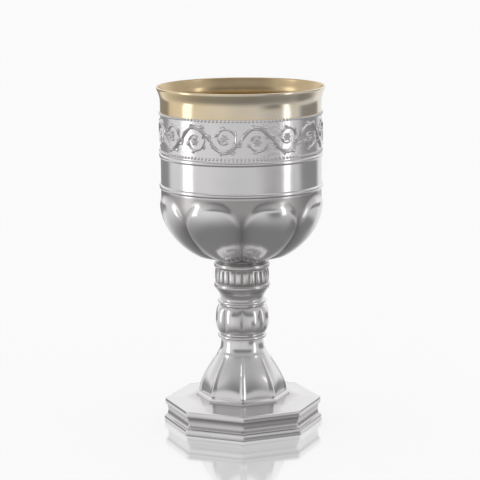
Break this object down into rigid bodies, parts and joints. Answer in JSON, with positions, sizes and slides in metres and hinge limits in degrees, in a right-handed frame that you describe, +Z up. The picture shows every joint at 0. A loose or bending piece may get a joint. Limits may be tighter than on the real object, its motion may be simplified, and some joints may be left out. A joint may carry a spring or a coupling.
{
  "type": "goblet chalice",
  "caption": "Standing silver chalice: deep open bowl with petalled base and gilt lip, collar, stem with lobed knop, hollow stepped octagonal foot.",
  "frame": {"origin": "middle of the underside, on the surface that the chalice stands on", "axes": "+Z up along the axis of the bowl and stem; -Y is the front, where a corner of the foot and a valley between two petals point"},
  "size_m": [0.0754, 0.0754, 0.154],
  "materials": {
    "silver": "polished silver, softly worn, with light tarnish in the chased ground",
    "gilt": "thin polished gilding on the bowl's inside and on the outside of the lip"
  },
  "bodies": {
    "root": {"bowl": "silver", "collar": "silver", "stem": "silver", "foot": "silver"}
  },
  "joints": []
}
